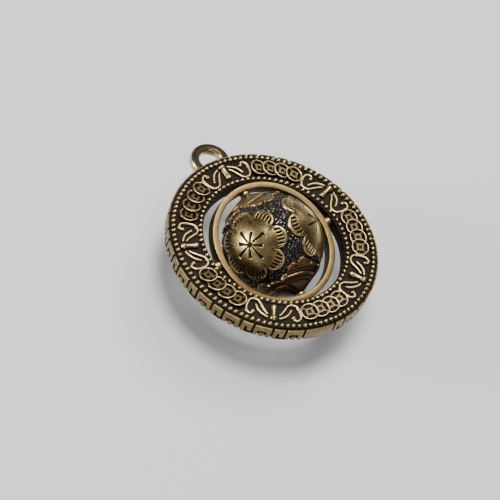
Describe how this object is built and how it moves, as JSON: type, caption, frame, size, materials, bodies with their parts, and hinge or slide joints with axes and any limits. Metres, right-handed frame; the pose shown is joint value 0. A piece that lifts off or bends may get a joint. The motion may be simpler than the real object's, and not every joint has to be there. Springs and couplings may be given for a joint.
{
  "type": "gimballed ball charm",
  "caption": "Round brass charm with a bail, a relief ring, an inner ring that tilts on two pins and an embossed ball that spins on an axle inside it.",
  "frame": {"origin": "centre of the bail's eye, in the middle plane of the outer ring", "axes": "+Z is the outer ring's axis, out of its front face; the ring's middle lies at -Y from the bail; X is the line of the two pins that carry the inner ring"},
  "size_m": [0.04, 0.0448, 0.019],
  "materials": {
    "cast_brass": "antiqued, dark in the hollows, rubbed bright on the edges",
    "relief_brass": "antiqued relief with rubbed high spots",
    "rim_brass": "antiqued, satin faces with dark grooves",
    "pin_brass": "turned, lightly tarnished",
    "brushed_brass": "brushed satin faces",
    "ball_brass": "antiqued relief over a dark stippled ground"
  },
  "bodies": {
    "frame": {"outer_ring": "cast_brass", "rim_key_band": "rim_brass", "bail": "cast_brass", "ring_pin_right": "pin_brass", "ring_pin_left": "pin_brass", "ring_spacer_right": "pin_brass", "ring_spacer_left": "pin_brass", "beads_outer_front": "relief_brass", "beads_inner_front": "relief_brass", "beads_outer_back": "relief_brass", "beads_inner_back": "relief_brass", "bar_front_1": "relief_brass", "bar_front_2": "relief_brass", "bar_front_3": "relief_brass", "bar_front_4": "relief_brass", "bar_front_5": "relief_brass", "scroll_front_1": "relief_brass", "scroll_front_2": "relief_brass", "scroll_front_3": "relief_brass", "scroll_front_4": "relief_brass", "scroll_front_5": "relief_brass", "coins_front_1": "relief_brass", "coins_front_2": "relief_brass", "coins_front_3": "relief_brass", "coins_front_4": "relief_brass", "coins_front_5": "relief_brass", "bar_back_1": "relief_brass", "bar_back_2": "relief_brass", "bar_back_3": "relief_brass", "bar_back_4": "relief_brass", "bar_back_5": "relief_brass", "scroll_back_1": "relief_brass", "scroll_back_2": "relief_brass", "scroll_back_3": "relief_brass", "scroll_back_4": "relief_brass", "scroll_back_5": "relief_brass", "coins_back_1": "relief_brass", "coins_back_2": "relief_brass", "coins_back_3": "relief_brass", "coins_back_4": "relief_brass", "coins_back_5": "relief_brass"},
    "gimbal": {"inner_ring": "brushed_brass", "ball_axle": "pin_brass", "ball_spacer_upper": "pin_brass", "ball_spacer_lower": "pin_brass"},
    "ball": {"ball_shell_front": "ball_brass", "ball_shell_back": "ball_brass", "ball_bush_upper": "pin_brass", "ball_bush_lower": "pin_brass", "flower_1": "ball_brass", "flower_2": "ball_brass", "flower_3": "ball_brass", "flower_4": "ball_brass", "leaves_upper": "ball_brass", "leaves_lower": "ball_brass"}
  },
  "joints": [
    {"name": "ring_tilt", "type": "hinge", "parent": "frame", "child": "gimbal", "pos_m": [0, -0.02095, 0.0003], "axis": [1, 0, 0], "continuous": true},
    {"name": "ball_spin", "type": "hinge", "parent": "gimbal", "child": "ball", "pos_m": [0, -0.02095, 0.0003], "axis": [0, 0.9744, 0.225], "continuous": true}
  ]
}
